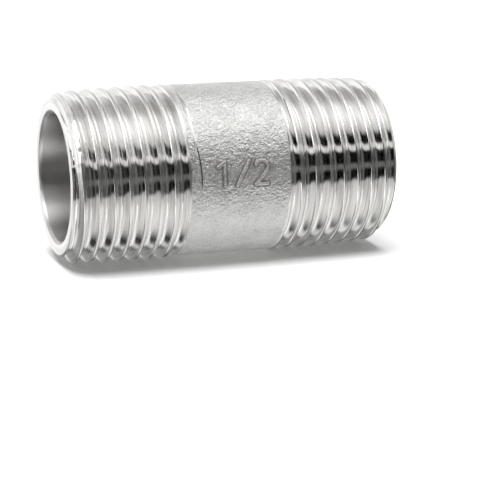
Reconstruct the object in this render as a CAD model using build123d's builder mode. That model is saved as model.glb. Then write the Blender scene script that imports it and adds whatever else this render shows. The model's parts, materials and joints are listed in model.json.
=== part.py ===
"""A half-inch pipe nipple with a taper thread on each end, 14 threads to the inch.

The nipple is one stainless steel casting: its barrel is left as cast, and its two ends, their
threads and the bore are machined. Its axis is the X axis and the origin is midway along it,
so the end faces stand at plus and minus half of the length. The barrel carries a raised size
mark on its -Y side. All sizes are in millimetres.
"""

import os
from math import atan, cos, degrees, radians, sin, tan

from build123d import *

# Driving dimensions of the body
TOTAL_LENGTH = 40.5
BORE_RADIUS = 7.7
BORE_CHAMFER = 0.35
BARREL_RADIUS = 10.43
BLANK_RADIUS = 10.5
LEFT_THREAD_LENGTH = 13.8
RIGHT_THREAD_LENGTH = 14.2
SHOULDER_WIDTH = 0.2
END_CHAMFER = 1.0

# Taper pipe thread R 1/2, as in ISO 7-1
THREADS_PER_INCH = 14
GAUGE_DIAMETER = 20.955
GAUGE_LENGTH = 8.16
TAPER_ON_RADIUS = 1 / 32
FLANK_ANGLE = 27.5
DEPTH_PER_PITCH = 0.640327
ROOT_FLAT_PER_PITCH = 1 / 6
ROOT_ROUNDING = 0.2
OVERCUT = 0.15

# Each groove starts outside its end face, and its last turn climbs out of the metal. A start
# angle is turned about the inward axis, from the top of the left end or the foot of the right.
LEFT_GROOVE_START = -1.46
LEFT_START_ANGLE = 108
RIGHT_GROOVE_START = -1.18
RIGHT_START_ANGLE = 45
FULL_TURNS = 8
RUNOUT_TURNS = 1
RUNOUT_RISE = 1.0

# Raised size mark on the barrel
MARK_ANGLE = 6
MARK_RISE = 0.2
MARK_ROOT = 0.6
MARK_SIZE = 2.8
MARK_STROKE = 0.42
MARK_SPACING = 2.3

# Worked out from the sizes above
PITCH = 25.4 / THREADS_PER_INCH
THREAD_DEPTH = DEPTH_PER_PITCH * PITCH
END_X = TOTAL_LENGTH / 2
CLEAR_RADIUS = BLANK_RADIUS + 2


def crest_radius(depth_in):
    """Radius of the full thread's crest at a distance in from the end face."""
    return GAUGE_DIAMETER / 2 + (depth_in - GAUGE_LENGTH) * TAPER_ON_RADIUS


def revolved(points):
    """The solid that a closed outline of (x, radius) points makes about the X axis."""
    with BuildPart() as turned:
        with BuildSketch(Plane.XZ):
            with BuildLine():
                Polyline(*points, close=True)
            make_face()
        revolve(axis=Axis.X)
    return turned.part


def blank_end(thread_length):
    """Points of the bar's outline from the barrel out to one end face."""
    barrel_end = END_X - thread_length
    return [
        (barrel_end - SHOULDER_WIDTH, BARREL_RADIUS),
        (barrel_end, crest_radius(thread_length)),
        (END_X, crest_radius(0)),
        (END_X, 0),
    ]


def blank():
    """The solid bar: a straight barrel between two ends that follow the thread's taper."""
    left_end = [(-x, r) for x, r in reversed(blank_end(LEFT_THREAD_LENGTH))]
    return revolved(left_end + blank_end(RIGHT_THREAD_LENGTH))


def helical_cutter(inward, depth_in, start_angle, turns, cone_angle):
    """What one helical stretch of thread groove removes, for a tool that travels inward.

    The helix follows the root of the thread. Unturned, it starts at the top of the left end,
    or at the foot of the right end.
    """
    start_x = (depth_in - END_X) * inward
    start_radius = crest_radius(depth_in) - THREAD_DEPTH
    root_half = ROOT_FLAT_PER_PITCH * PITCH / 2
    top = THREAD_DEPTH + OVERCUT
    top_half = root_half + top * tan(radians(FLANK_ANGLE))
    with BuildPart() as cutter:
        with BuildLine() as path:
            Helix(
                PITCH / cos(radians(cone_angle)),
                turns * PITCH,
                start_radius,
                center=(start_x, 0, 0),
                direction=(inward, 0, 0),
                cone_angle=cone_angle,
            )
        section = Plane(origin=path.line @ 0, x_dir=(1, 0, 0), z_dir=(0, -inward, 0))
        with BuildSketch(section) as groove:
            with BuildLine():
                Polyline((-root_half, 0), (-top_half, top), (top_half, top), (root_half, 0), close=True)
            make_face()
            fillet(groove.vertices().sort_by(Axis.Y)[:2], ROOT_ROUNDING)
        sweep(path=path.line, is_frenet=True)
    return cutter.part.rotate(Axis.X, start_angle * inward)


def full_thread_cutter(inward, groove_start, start_angle):
    """The groove of the full thread, which follows the taper."""
    taper_angle = degrees(atan(TAPER_ON_RADIUS))
    return helical_cutter(inward, groove_start, start_angle, FULL_TURNS, taper_angle)


def runout_cutter(inward, groove_start, start_angle):
    """The groove's last turn, which climbs out through the surface of the bar."""
    rise_angle = degrees(atan(RUNOUT_RISE / PITCH))
    runout_start = groove_start + FULL_TURNS * PITCH
    return helical_cutter(inward, runout_start, start_angle, RUNOUT_TURNS, rise_angle)


def end_chamfer_cutter(side):
    """What the chamfer takes off the rim of one end; side is the sign of its X."""
    foot = crest_radius(END_CHAMFER) - END_CHAMFER
    outside = END_X + 1
    inside = END_X - END_CHAMFER - 1
    corners = [(outside, foot - 1), (inside, foot + END_CHAMFER + 1), (outside, CLEAR_RADIUS)]
    return revolved([(x * side, r) for x, r in corners])


def bar_trimmer():
    """What lies beyond the bar's own radius, where the taper would rise above it."""
    reach = END_X - GAUGE_LENGTH / 2
    inner = [(-reach, BLANK_RADIUS), (reach, BLANK_RADIUS)]
    return revolved(inner + [(reach, CLEAR_RADIUS), (-reach, CLEAR_RADIUS)])


def bore_cutter():
    """The through bore, with a small chamfer at each mouth."""
    mouth = (END_X, BORE_RADIUS + BORE_CHAMFER)
    throat = (END_X - BORE_CHAMFER, BORE_RADIUS)
    right_half = [throat, mouth, (END_X, 0)]
    left_half = [(-x, r) for x, r in reversed(right_half)]
    return revolved(left_half + right_half)


def size_mark():
    """Raised strokes that read 1/2, standing on the barrel's -Y side."""
    tilt = radians(MARK_ANGLE)
    outward = Vector(0, -cos(tilt), sin(tilt))
    top_face = Plane(origin=outward * (BARREL_RADIUS + MARK_RISE), x_dir=(1, 0, 0), z_dir=outward)
    half = MARK_SIZE / 2
    bowl = MARK_SIZE / 3.6
    with BuildPart() as mark:
        with BuildSketch(top_face):
            with BuildLine():
                flag = (-MARK_SPACING - bowl, half * 0.6)
                Polyline(flag, (-MARK_SPACING, half), (-MARK_SPACING, -half))
            trace(line_width=MARK_STROKE)
            with BuildLine():
                Line((-bowl, -half), (bowl, half))
            trace(line_width=MARK_STROKE)
            with BuildLine():
                arc = CenterArc((MARK_SPACING, half - bowl), bowl, 160, -205)
                Polyline(arc @ 1, (MARK_SPACING - bowl, -half), (MARK_SPACING + bowl, -half))
            trace(line_width=MARK_STROKE)
        extrude(amount=-(MARK_RISE + MARK_ROOT))
    return mark.part


def main():
    os.makedirs("parts", exist_ok=True)
    with BuildPart() as nipple:
        add(blank())
        add(full_thread_cutter(1, LEFT_GROOVE_START, LEFT_START_ANGLE), mode=Mode.SUBTRACT)
        add(full_thread_cutter(-1, RIGHT_GROOVE_START, RIGHT_START_ANGLE), mode=Mode.SUBTRACT)
        add(end_chamfer_cutter(-1), mode=Mode.SUBTRACT)
        add(end_chamfer_cutter(1), mode=Mode.SUBTRACT)
        add(bar_trimmer(), mode=Mode.SUBTRACT)
        add(runout_cutter(1, LEFT_GROOVE_START, LEFT_START_ANGLE), mode=Mode.SUBTRACT)
        add(runout_cutter(-1, RIGHT_GROOVE_START, RIGHT_START_ANGLE), mode=Mode.SUBTRACT)
        add(bore_cutter(), mode=Mode.SUBTRACT)
        add(size_mark())
    nipple.part.label = "nipple_body"
    export_step(nipple.part, "parts/nipple_body.step")


main()
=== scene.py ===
"""Looks for the threaded pipe nipple: one machined and cast stainless steel body.

The body's skin is worked out from the same driving sizes as the solid model: a helical taper
thread on each end, a cast barrel between them with a raised size mark, and a turned bore.
Lengths are in millimetres until a mesh is made, which is in metres.
"""

import json
from math import atan2, cos, hypot, pi, radians, sin, tan

import bmesh
import bpy
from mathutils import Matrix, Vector, noise


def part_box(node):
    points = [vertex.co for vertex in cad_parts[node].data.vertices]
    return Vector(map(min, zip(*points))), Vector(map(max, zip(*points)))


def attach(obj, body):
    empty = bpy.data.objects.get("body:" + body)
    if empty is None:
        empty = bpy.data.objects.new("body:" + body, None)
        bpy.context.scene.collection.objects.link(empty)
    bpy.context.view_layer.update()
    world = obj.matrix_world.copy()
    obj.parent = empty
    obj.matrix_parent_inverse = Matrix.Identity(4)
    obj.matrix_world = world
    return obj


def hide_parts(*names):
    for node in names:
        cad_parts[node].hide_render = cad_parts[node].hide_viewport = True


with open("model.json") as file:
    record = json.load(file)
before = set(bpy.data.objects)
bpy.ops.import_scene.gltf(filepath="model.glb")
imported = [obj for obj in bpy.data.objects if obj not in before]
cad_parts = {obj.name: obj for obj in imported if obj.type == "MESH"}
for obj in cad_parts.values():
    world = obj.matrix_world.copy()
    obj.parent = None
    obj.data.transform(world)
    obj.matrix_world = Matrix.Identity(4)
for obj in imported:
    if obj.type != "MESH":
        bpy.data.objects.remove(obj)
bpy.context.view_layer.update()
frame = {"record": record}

# Sizes that the frame gives
MM = 0.001
LOW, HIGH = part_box("nipple_body")
MOUNTS = {m["name"]: m for m in frame["record"]["mounts"]}
LENGTH = (HIGH.x - LOW.x) / MM
END_X = LENGTH / 2
BORE_RADIUS = MOUNTS["bore"]["dims"]["r_mm"]

# Body sizes, as in the solid model
BORE_CHAMFER = 0.35
BARREL_RADIUS = 10.43
BLANK_RADIUS = 10.498
THREAD_LENGTH = {1: 13.8, -1: 14.2}
SHOULDER_WIDTH = 0.2
END_CHAMFER = 1.0

# Taper pipe thread R 1/2
PITCH = 25.4 / 14
THREAD_DEPTH = 0.640327 * PITCH
ROUNDING = 0.137329 * PITCH
FLANK = radians(27.5)
GAUGE_RADIUS = 20.955 / 2
GAUGE_LENGTH = 8.16
TAPER = 1 / 32
RUNOUT_RISE = 1.0

# Each end, by the X sign of its tool's travel: where a groove passes the -Y side, and where
# the last full groove ends, both as distances in from the end face
GROOVE_NEAR = {1: 2.078, -1: 0.860}
FULL_DEPTH_ENDS = {1: 13.05, -1: 13.33}
HELICAL_REACH = 15.3

# Raised size mark, as in the solid model
MARK_ANGLE = radians(6)
MARK_RISE = 0.2
MARK_SIZE = 2.8
MARK_STROKE = 0.42
MARK_SPACING = 2.3

# Widths over which two surfaces are rounded into each other
TAPER_BLEND = 0.02
CHAMFER_BLEND = 0.08
CREST_BLEND = 0.06

# Mesh fineness, and the turns of thread, counted from the -Y side, that an end can hold
COLUMNS = 180
BARREL_COLUMNS = 2 * COLUMNS
BARREL_ROWS = 56
BORE_ROWS = 16
THREAD_TURNS = range(-3, 11)
GROOVE_HALF_ROWS = [0, 0.05, 0.1, 0.14, 0.21, 0.28, 0.34, 0.375, 0.41, 0.44, 0.47]
SNAP = 0.02

# Shares of the surface, by place, that the material reads
# The share along the foot of the mark's strokes carries painted shade
SHARES = ("machined", "crest", "mark_foot_shade", "bore")


def crest_radius(depth_in):
    """Radius of the full thread's crest at a distance in from the end face."""
    return GAUGE_RADIUS + (depth_in - GAUGE_LENGTH) * TAPER


def smooth_min(a, b, width):
    """The smaller of two radii, rounded over where they cross."""
    h = max(width - abs(a - b), 0) / width
    return min(a, b) - h * h * width / 4


def smooth_step(low, high, value):
    """0 below the low value, 1 above the high one, and an even rise between them."""
    t = min(max((value - low) / (high - low), 0), 1)
    return t * t * (3 - 2 * t)


def groove_height(offset):
    """Height of the groove's wall above its root, at an axial distance from its centre."""
    offset = abs(offset)
    if offset < ROUNDING * cos(FLANK):
        return ROUNDING - (ROUNDING ** 2 - offset ** 2) ** 0.5
    return offset / tan(FLANK) - ROUNDING * (1 / sin(FLANK) - 1)


def groove_radius(end, depth_in, angle):
    """Radius of the nearest thread grooves' surface at a place on one end."""
    turns = (depth_in - GROOVE_NEAR[end]) / PITCH + end * angle / (2 * pi)
    nearest = round(turns)
    radii = []
    for k in (nearest - 1, nearest, nearest + 1):
        centre = GROOVE_NEAR[end] + (k - end * angle / (2 * pi)) * PITCH
        lift = RUNOUT_RISE * max(0, (centre - FULL_DEPTH_ENDS[end]) / PITCH)
        if lift < 1.2 * RUNOUT_RISE:
            root = crest_radius(depth_in) - THREAD_DEPTH
            radii.append(root + lift + groove_height(depth_in - centre))
    return min(radii, default=BLANK_RADIUS + 1)


def blank_radius(end, depth_in):
    """Radius of the turned bar that the thread is cut in."""
    taper = crest_radius(depth_in)
    chamfer = crest_radius(END_CHAMFER) - END_CHAMFER + depth_in
    turned = min(smooth_min(taper, BLANK_RADIUS, TAPER_BLEND), BLANK_RADIUS)
    cast = smooth_step(THREAD_LENGTH[end], THREAD_LENGTH[end] + SHOULDER_WIDTH, depth_in)
    turned += (BARREL_RADIUS - turned) * cast
    return smooth_min(turned, chamfer, CHAMFER_BLEND)


def on_surface(x, angle, radius):
    """A place by its distance along the axis, its angle up from the -Y side and its radius."""
    return Vector((x, -radius * cos(angle), radius * sin(angle)))


def cast_relief(x, angle):
    """How far the cast skin stands off its true radius."""
    place = on_surface(x, angle, BARREL_RADIUS)
    slow = noise.noise(place * 0.35 + Vector((7, 3, 1)))
    middle = noise.noise(place * 1.1 + Vector((1, 5, 9)))
    fine = noise.noise(place * 2.6 + Vector((4, 8, 2)))
    return 0.02 * slow + 0.012 * middle + 0.012 * fine


def stroke_distance(point, stroke):
    """Distance from a point to the nearest straight run of a stroke."""
    best = 100.0
    for (ax, ay), (bx, by) in zip(stroke, stroke[1:]):
        dx, dy = bx - ax, by - ay
        t = ((point[0] - ax) * dx + (point[1] - ay) * dy) / (dx * dx + dy * dy)
        t = min(max(t, 0), 1)
        best = min(best, hypot(point[0] - ax - t * dx, point[1] - ay - t * dy))
    return best


def mark_strokes():
    """The strokes of 1/2, as lines of points around the mark's middle."""
    half = MARK_SIZE / 2
    bowl = MARK_SIZE / 3.6
    one = [(-MARK_SPACING - bowl, half * 0.6), (-MARK_SPACING, half), (-MARK_SPACING, -half)]
    bar = [(-bowl, -half), (bowl, half)]
    turn = [radians(160 - 205 * k / 12) for k in range(13)]
    two = [(MARK_SPACING + bowl * cos(a), half - bowl + bowl * sin(a)) for a in turn]
    two += [(MARK_SPACING - bowl, -half), (MARK_SPACING + bowl, -half)]
    return [one, bar, two]


STROKES = mark_strokes()


def mark_relief(x, angle):
    """(height, painted shade) of the raised mark; the painted shade lies along the foot of its strokes.
    """
    up = (angle - MARK_ANGLE) * BARREL_RADIUS
    if abs(x) > MARK_SIZE * 1.5 or abs(up) > MARK_SIZE:
        return 0, 0
    distance = min(stroke_distance((x, up), s) for s in STROKES)
    height = MARK_RISE * (1 - smooth_step(MARK_STROKE * 0.3, MARK_STROKE * 0.7, distance))
    foot = abs(distance - MARK_STROKE * 0.62)
    return height, 1 - smooth_step(0.02, 0.16, foot)


def tearing(end, depth_in, angle):
    """Share of the surface that the tool tore where the left thread starts on its chamfer."""
    if end < 0:
        return 0
    along = smooth_step(0.05, 0.3, depth_in) * (1 - smooth_step(1.1, 1.7, depth_in))
    around = smooth_step(radians(-12), radians(15), angle)
    around *= 1 - smooth_step(radians(55), radians(80), angle)
    return along * around


def torn_relief(x, angle):
    """How deep the torn metal lies below its true surface."""
    place = on_surface(x, angle, BARREL_RADIUS)
    return 0.14 * max(0, noise.noise(place * 2.2) + 0.35) + 0.09 * abs(noise.noise(place * 4.0))


def skin(x, angle):
    """(radius, machined, crest and painted mark shade shares) of the outer surface at a place on the
    body.
    """
    angle = (angle + pi) % (2 * pi) - pi
    end = 1 if x < 0 else -1
    depth_in = END_X - abs(x)
    cast = smooth_step(THREAD_LENGTH[end] - 0.05, THREAD_LENGTH[end] + SHOULDER_WIDTH, depth_in)
    mark, mark_shade = mark_relief(x, angle)
    blank = blank_radius(end, depth_in) + cast * (cast_relief(x, angle) + mark)
    if depth_in > HELICAL_REACH + PITCH / 2:
        return blank, 0, 0, mark_shade
    groove = groove_radius(end, depth_in, angle)
    machined = max(1 - cast, smooth_step(-0.02, 0.05, blank - groove))
    crest = (1 - cast) * (1 - smooth_step(-0.05, 0.05, blank - groove))
    radius = smooth_min(groove, blank, CREST_BLEND)
    torn = tearing(end, depth_in, angle)
    if torn:
        radius -= torn * torn_relief(x, angle)
    return radius, machined, crest, mark_shade


class Body:
    """Collects the vertices and faces of the nipple's closed skin."""

    def __init__(self):
        self.places = []
        self.faces = []

    def vertex(self, x, angle, radius=None):
        self.places.append((x, angle, radius))
        return len(self.places) - 1

    def face(self, *corners):
        kept = [c for k, c in enumerate(corners) if c != corners[k - 1]]
        if len(set(kept)) > 2:
            self.faces.append(kept)

    def ring(self, x, radius=None, columns=COLUMNS):
        return [self.vertex(x, 2 * pi * i / columns, radius) for i in range(columns)]

    def band(self, ring_a, ring_b):
        """Faces between two rings; the second may be twice as fine."""
        n = len(ring_a)
        if len(ring_b) == n:
            for i in range(n):
                self.face(ring_a[i], ring_a[(i + 1) % n], ring_b[(i + 1) % n], ring_b[i])
            return
        for i in range(n):
            a, b = ring_a[i], ring_a[(i + 1) % n]
            c, d, e = (ring_b[(2 * i + k) % len(ring_b)] for k in range(3))
            self.face(a, d, c)
            self.face(a, b, d)
            self.face(b, e, d)


def helical_rows():
    """Places of the mesh rows across one pitch, in pitches from a groove's centre."""
    return sorted([-h for h in GROOVE_HALF_ROWS[1:]] + GROOVE_HALF_ROWS + [0.5])


def add_thread(body, end, face_ring, barrel_ring):
    """The skin of one end, in rows that follow its helix between two plane rings."""
    rows = [k + r for k in THREAD_TURNS for r in helical_rows()]
    per_turn = len(helical_rows())
    columns = []
    for i in range(COLUMNS):
        angle = 2 * pi * i / COLUMNS
        column = []
        for q in rows:
            depth_in = GROOVE_NEAR[end] + (q - end * angle / (2 * pi)) * PITCH
            if depth_in < SNAP:
                column.append(face_ring[i])
            elif depth_in > HELICAL_REACH - SNAP:
                column.append(barrel_ring[i])
            else:
                column.append(body.vertex(end * (depth_in - END_X), angle))
        columns.append(column)
    shift = -end * per_turn
    last = COLUMNS - 1
    for j in range(per_turn, len(rows) - per_turn - 1):
        for i in range(last):
            a, b = columns[i], columns[i + 1]
            body.face(a[j], b[j], b[j + 1], a[j + 1])
        a, b = columns[last], columns[0]
        body.face(a[j], b[j + shift], b[j + shift + 1], a[j + 1])


def add_barrel(body, barrel_rings):
    """The cast barrel, in plain rings between the two threads."""
    reach = END_X - HELICAL_REACH
    steps = [-reach + 2 * reach * k / BARREL_ROWS for k in range(1, BARREL_ROWS)]
    rings = [body.ring(x, columns=BARREL_COLUMNS) for x in steps]
    body.band(barrel_rings[1], rings[0])
    for a, b in zip(rings, rings[1:]):
        body.band(a, b)
    body.band(barrel_rings[-1], rings[-1])


def add_bore(body, face_rings):
    """The two end faces, the chamfered mouths and the bore's wall."""
    mouth = BORE_RADIUS + BORE_CHAMFER
    throat = END_X - BORE_CHAMFER
    before = {}
    for end in (1, -1):
        rings = [face_rings[end]]
        rings.append(body.ring(-end * END_X, mouth + 0.6))
        rings.append(body.ring(-end * END_X, mouth + 0.04))
        rings.append(body.ring(-end * (END_X - 0.03), mouth - 0.01))
        rings.append(body.ring(-end * (throat + 0.02), BORE_RADIUS + 0.02))
        rings.append(body.ring(-end * (throat - 0.04), BORE_RADIUS))
        for a, b in zip(rings, rings[1:]):
            body.band(a, b)
        before[end] = rings[-1]
    rings = [before[1]]
    for k in range(1, BORE_ROWS):
        x = throat * (2 * k / BORE_ROWS - 1)
        rings.append(body.ring(x, BORE_RADIUS))
    rings.append(before[-1])
    for a, b in zip(rings, rings[1:]):
        body.band(a, b)


def build_skin():
    """The whole closed skin, as places on it and faces between them."""
    body = Body()
    face_rings = {end: body.ring(-end * END_X) for end in (1, -1)}
    barrel_rings = {end: body.ring(-end * (END_X - HELICAL_REACH)) for end in (1, -1)}
    for end in (1, -1):
        add_thread(body, end, face_rings[end], barrel_rings[end])
    add_barrel(body, barrel_rings)
    add_bore(body, face_rings)
    return body


def refine_mark(bm):
    """Divide the faces under the raised mark, so that its strokes come out clean."""
    def inside(face):
        c = face.calc_center_median()
        across = abs(c.x) < MARK_SIZE * 1.25 * MM
        angle = atan2(c.z, -c.y) - MARK_ANGLE
        near_axis = hypot(c.y, c.z) > 0.95 * BARREL_RADIUS * MM
        return across and near_axis and abs(angle) * BARREL_RADIUS < MARK_SIZE * 0.68
    edges = {e for f in bm.faces if inside(f) for e in f.edges}
    bmesh.ops.subdivide_edges(bm, edges=list(edges), cuts=2, use_grid_fill=True)


def shape_skin(bm):
    """Move each vertex onto the skin, unless its radius is held, and store its shares."""
    layers = bm.verts.layers.float
    for name in SHARES:
        layers.new(name)
    held = layers["fixed"]
    share, crest, mark_shade, bore = (layers[name] for name in SHARES)
    for v in bm.verts:
        if v[held]:
            v[share] = 1
            v[bore] = 1 if v[held] < BORE_RADIUS + BORE_CHAMFER else 0
            continue
        x, angle = v.co.x / MM, atan2(v.co.z, -v.co.y)
        radius, v[share], v[crest], v[mark_shade] = skin(x, angle)
        v.co = on_surface(x, angle, radius) * MM


def make_nipple():
    """The nipple's mesh, as one object."""
    body = build_skin()
    mesh = bpy.data.meshes.new("nipple")
    cylinder = [on_surface(x, a, r or BARREL_RADIUS) * MM for x, a, r in body.places]
    mesh.from_pydata(cylinder, [], body.faces)
    fixed = mesh.attributes.new("fixed", "FLOAT", "POINT")
    fixed.data.foreach_set("value", [r or 0 for x, a, r in body.places])
    bm = bmesh.new()
    bm.from_mesh(mesh)
    refine_mark(bm)
    shape_skin(bm)
    bmesh.ops.recalc_face_normals(bm, faces=bm.faces)
    bm.to_mesh(mesh)
    bm.free()
    mesh.shade_smooth()
    mesh.set_sharp_from_angle(angle=radians(38))
    piece = bpy.data.objects.new("nipple", mesh)
    bpy.context.scene.collection.objects.link(piece)
    return piece


class Nodes:
    """A short way to write a node tree."""

    def __init__(self, tree):
        self.tree = tree
        tree.nodes.clear()

    def add(self, kind, inputs=(), **settings):
        node = self.tree.nodes.new(kind)
        for name, value in settings.items():
            setattr(node, name, value)
        for socket, value in dict(inputs).items():
            if isinstance(value, bpy.types.NodeSocket):
                self.tree.links.new(value, node.inputs[socket])
            else:
                node.inputs[socket].default_value = value
        return node

    def math(self, operation, a, b=0.0, clamp=False):
        return self.add("ShaderNodeMath", {0: a, 1: b}, operation=operation, use_clamp=clamp).outputs[0]

    def mix(self, share, a, b):
        node = self.add("ShaderNodeMix", {0: share, 2: a, 3: b}, data_type="FLOAT")
        return node.outputs[0]

    def mix_colour(self, share, a, b):
        node = self.add("ShaderNodeMix", {0: share, 6: a, 7: b}, data_type="RGBA")
        return node.outputs[2]

    def attribute(self, name):
        return self.add("ShaderNodeAttribute", attribute_name=name).outputs["Fac"]

    def noise(self, place, scale, detail, roughness):
        inputs = {"Vector": place, "Scale": scale, "Detail": detail, "Roughness": roughness}
        return self.add("ShaderNodeTexNoise", inputs).outputs[0]

    def bump(self, height, strength, distance):
        inputs = {"Height": height, "Strength": strength, "Distance": distance}
        return self.add("ShaderNodeBump", inputs).outputs[0]

    def sky(self, pitch, stops):
        """Brightness by a pitch in radians, from stops whose pitches are in degrees."""
        share = self.math("ADD", self.math("DIVIDE", pitch, 2 * pi), 0.5)
        return self.ramp(share, [(0.5 + degree / 360, value) for degree, value in stops])

    def ramp(self, value, stops):
        node = self.add("ShaderNodeValToRGB", {0: value})
        elements = node.color_ramp.elements
        while len(elements) < len(stops):
            elements.new(0.5)
        for element, (place, colour) in zip(elements, stops):
            element.position = place
            element.color = (*colour, 1) if isinstance(colour, tuple) else (colour, colour, colour, 1)
        return node.outputs[0]


def dark_line(n, x, y, z):
    """Share of a thin dark line painted on the barrel by the left thread."""
    angle = n.math("ARCTAN2", z, n.math("MULTIPLY", y, -1.0))
    bend = n.math("MULTIPLY", n.math("MULTIPLY", angle, angle), 0.0019)
    offset = n.math("ABSOLUTE", n.math("ADD", n.math("ADD", x, 0.0051), bend))
    near = n.math("MULTIPLY", n.math("SUBTRACT", 0.00010, offset), 20000.0, clamp=True)
    below = n.math("MULTIPLY", n.math("SUBTRACT", 0.54, angle), 8.0, clamp=True)
    above = n.math("MULTIPLY", n.math("ADD", angle, 0.1), 8.0, clamp=True)
    return n.math("MULTIPLY", near, n.math("MULTIPLY", below, above))


def turned_finish(n, x, y, z):
    """(colour, roughness, normal) of turned metal, whose fine lines run round the axis."""
    radius = n.math("SQRT", n.math("ADD", n.math("MULTIPLY", y, y), n.math("MULTIPLY", z, z)))
    along = n.math("ADD", n.math("MULTIPLY", x, 4600.0), n.math("MULTIPLY", radius, 1200.0))
    around = {1: n.math("MULTIPLY", y, 70.0), 2: n.math("MULTIPLY", z, 70.0)}
    lay = n.add("ShaderNodeCombineXYZ", {0: along, **around}).outputs[0]
    lines = n.noise(lay, 1.0, 3.0, 0.6)
    broad = n.noise(lay, 0.24, 1.0, 0.5)
    turning = n.math("ADD", lines, n.math("MULTIPLY", broad, 1.6))
    bore = n.attribute("bore")
    colour = n.ramp(lines, [(0.35, (0.68, 0.675, 0.66)), (0.6, (0.88, 0.875, 0.86))])
    colour = n.mix_colour(bore, colour, (0.6, 0.59, 0.58, 1))
    rough = n.math("ADD", 0.04, n.math("MULTIPLY", lines, 0.12))
    rough = n.mix(n.attribute("crest"), rough, 0.3)
    rough = n.mix(bore, rough, 0.38)
    return colour, rough, n.bump(turning, 0.4, 0.00003)


def cast_finish(n, place, x, y, z):
    """(colour, roughness, normal) of the cast skin, darker by painted shade along the mark's strokes
    and by a thin painted dark line.
    """
    grain = n.noise(place, 4300.0, 2.0, 0.6)
    lumps = n.noise(place, 1700.0, 2.0, 0.5)
    clouds = n.noise(place, 420.0, 4.0, 0.6)
    height = n.math("ADD", grain, n.math("MULTIPLY", lumps, 0.9))
    speckle = n.mix(0.6, clouds, grain)
    colour = n.ramp(speckle, [(0.36, (0.74, 0.74, 0.72)), (0.6, (1.0, 1.0, 0.98))])
    # Painted shade: dark brown along the foot of the raised mark's strokes
    colour = n.mix_colour(n.attribute("mark_foot_shade"), colour, (0.3, 0.27, 0.24, 1))
    # A thin near-black line painted on the barrel where the left thread ends
    colour = n.mix_colour(dark_line(n, x, y, z), colour, (0.1, 0.095, 0.09, 1))
    rough = n.math("ADD", 0.42, n.math("MULTIPLY", grain, 0.2))
    return colour, rough, n.bump(height, 1.0, 0.00014)


def stainless():
    """Stainless steel: finely turned where machined, grained and matt where cast."""
    material = bpy.data.materials.new("stainless")
    material.use_nodes = True
    n = Nodes(material.node_tree)
    place = n.add("ShaderNodeTexCoord").outputs["Object"]
    x, y, z = n.add("ShaderNodeSeparateXYZ", {0: place}).outputs
    machined = n.attribute("machined")
    turned_colour, turned_rough, turned_normal = turned_finish(n, x, y, z)
    cast_colour, cast_rough, cast_normal = cast_finish(n, place, x, y, z)
    normals = {0: machined, 4: cast_normal, 5: turned_normal}
    lay_way = n.add("ShaderNodeTangent", direction_type="RADIAL", axis="X").outputs[0]
    shader = n.add("ShaderNodeBsdfPrincipled", {
        "Base Color": n.mix_colour(machined, cast_colour, turned_colour),
        "Metallic": 1.0,
        "Roughness": n.mix(machined, cast_rough, turned_rough),
        "Anisotropic": 0.9,
        "Anisotropic Rotation": 0.25,
        "Tangent": lay_way,
        "Normal": n.add("ShaderNodeMix", normals, data_type="VECTOR").outputs[1],
    })
    n.add("ShaderNodeOutputMaterial", {0: shader.outputs[0]})
    return material


def plain(name, colour, roughness):
    material = bpy.data.materials.new(name)
    material.use_nodes = True
    shader = material.node_tree.nodes["Principled BSDF"]
    shader.inputs["Base Color"].default_value = (*colour, 1)
    shader.inputs["Roughness"].default_value = roughness
    return material


def add_plate(name, corners, material):
    mesh = bpy.data.meshes.new(name)
    mesh.from_pydata([Vector(c) * MM for c in corners], [], [range(len(corners))])
    mesh.materials.append(material)
    plate = bpy.data.objects.new(name, mesh)
    bpy.context.scene.collection.objects.link(plate)
    return plate


def add_floor():
    """A pale floor under the nipple, which the metal doesn't reflect."""
    half = 1500
    z = LOW.z / MM
    corners = [(-half, -half, z), (half, -half, z), (half, half, z), (-half, half, z)]
    floor = add_plate("floor", corners, plain("floor", (0.9, 0.9, 0.9), 0.6))
    floor.visible_glossy = False


# Brightness that the metal reflects, by the pitch in degrees of where it looks: 0 is level
# towards the front, 90 is overhead, 180 is level towards the back, -90 is straight down
LEFT_SKY = [
    (-180, 1.1), (-160, 0.7), (-140, 0.35), (-105, 0.25), (-74, 0.2),
    (-64, 2.2), (-46, 2.2), (-40, 0.01), (61, 0.01), (67, 3.8),
    (96, 3.8), (104, 0.2), (122, 0.2), (132, 1.2), (180, 1.1),
]
MIDDLE_SKY = [
    (-180, 1.2), (-167, 1.1), (-156, 0.35), (-132, 0.2), (-122, 0.95),
    (-105, 1.15), (-90, 1.05), (-70, 1.05), (-45, 0.9), (-27, 0.7),
    (-22, 0.2), (24, 0.2), (28, 1.0), (45, 1.0), (80, 1.35),
    (98, 1.15), (112, 0.65), (130, 0.55), (150, 0.9), (180, 1.1),
]
RIGHT_SKY = [
    (-180, 0.6), (-145, 0.02), (-106, 0.04), (-96, 0.5), (-86, 0.9),
    (-70, 1.05), (-45, 0.9), (-27, 0.7), (-22, 0.0), (-8, 0.0),
    (-4, 0.2), (1, 0.2), (5, 0.0), (23, 0.0), (26, 1.1),
    (33, 1.1), (36, 0.0), (50, 0.0), (58, 0.8), (80, 1.35),
    (98, 1.15), (112, 0.65), (130, 0.55), (150, 0.9), (180, 1.1),
]


# Where the left stretch gives way to the middle one, and that to the right one, as shares of
# the way from -X to +X
TO_MIDDLE = (0.275, 0.325)
TO_RIGHT = (0.61, 0.64)


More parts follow.
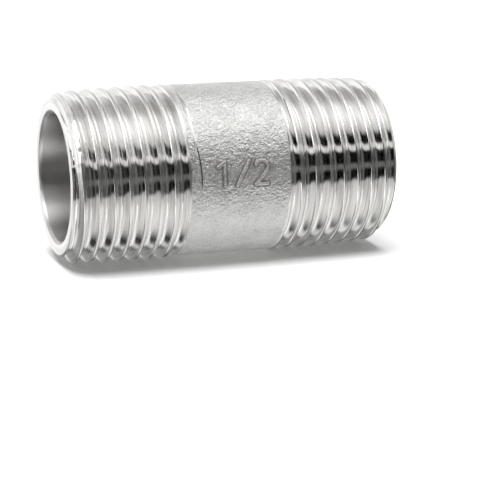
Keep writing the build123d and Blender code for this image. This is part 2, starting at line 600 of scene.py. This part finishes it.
def add_studio():
    """A bright room with a dark front, which the metal reflects; plain white otherwise."""
    world = bpy.data.worlds.new("studio")
    bpy.context.scene.world = world
    world.use_nodes = True
    n = Nodes(world.node_tree)
    direction = n.add("ShaderNodeTexCoord").outputs["Generated"]
    x, y, z = n.add("ShaderNodeSeparateXYZ", {0: direction}).outputs
    pitch = n.math("ARCTAN2", z, n.math("MULTIPLY", y, -1.0))
    left, middle, right = (n.sky(pitch, s) for s in (LEFT_SKY, MIDDLE_SKY, RIGHT_SKY))
    share = n.math("ADD", n.math("MULTIPLY", x, 0.5), 0.5)
    to_middle = n.ramp(share, list(zip(TO_MIDDLE, (0.0, 1.0))))
    to_right = n.ramp(share, list(zip(TO_RIGHT, (0.0, 1.0))))
    room = n.mix_colour(to_right, n.mix_colour(to_middle, left, middle), right)
    path = n.add("ShaderNodeLightPath").outputs
    plain_light = n.mix(path["Is Camera Ray"], 0.35, 1.0)
    seen = n.mix_colour(path["Is Glossy Ray"], plain_light, room)
    light = n.add("ShaderNodeBackground", {0: seen, 1: 1.0})
    n.add("ShaderNodeOutputWorld", {0: light.outputs[0]})


def add_softbox():
    """The light above that whitens the floor and drops the soft shadow."""
    lamp = bpy.data.lights.new("softbox", "AREA")
    lamp.shape = "DISK"
    lamp.size = 1.0
    lamp.energy = 25.0
    box = bpy.data.objects.new("softbox", lamp)
    box.location = (-0.15, -0.1, 1.2)
    box.visible_glossy = False
    box.visible_camera = False
    bpy.context.scene.collection.objects.link(box)


def add_camera():
    """A long lens, a little above and to the left, on the -Y side."""
    data = bpy.data.cameras.new("camera")
    data.lens = 125.4
    data.sensor_width = 36
    camera = bpy.data.objects.new("camera", data)
    camera.location = Vector((-65.646, -191.733, 36.541)) * MM
    aim = Vector((2.250, -2.897, -8.712)) * MM
    turn = (aim - camera.location).to_track_quat("-Z", "Y").to_matrix().to_4x4()
    camera.rotation_euler = turn.to_euler()
    bpy.context.scene.collection.objects.link(camera)
    bpy.context.scene.camera = camera


nipple = make_nipple()
nipple.data.materials.append(stainless())
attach(nipple, "root")
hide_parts("nipple_body")
add_floor()
add_studio()
add_softbox()
add_camera()
bpy.context.scene.view_settings.view_transform = "Standard"
bpy.context.scene.cycles.use_denoising = True
bpy.context.scene.cycles.max_bounces = 8
bpy.context.scene.cycles.glossy_bounces = 4
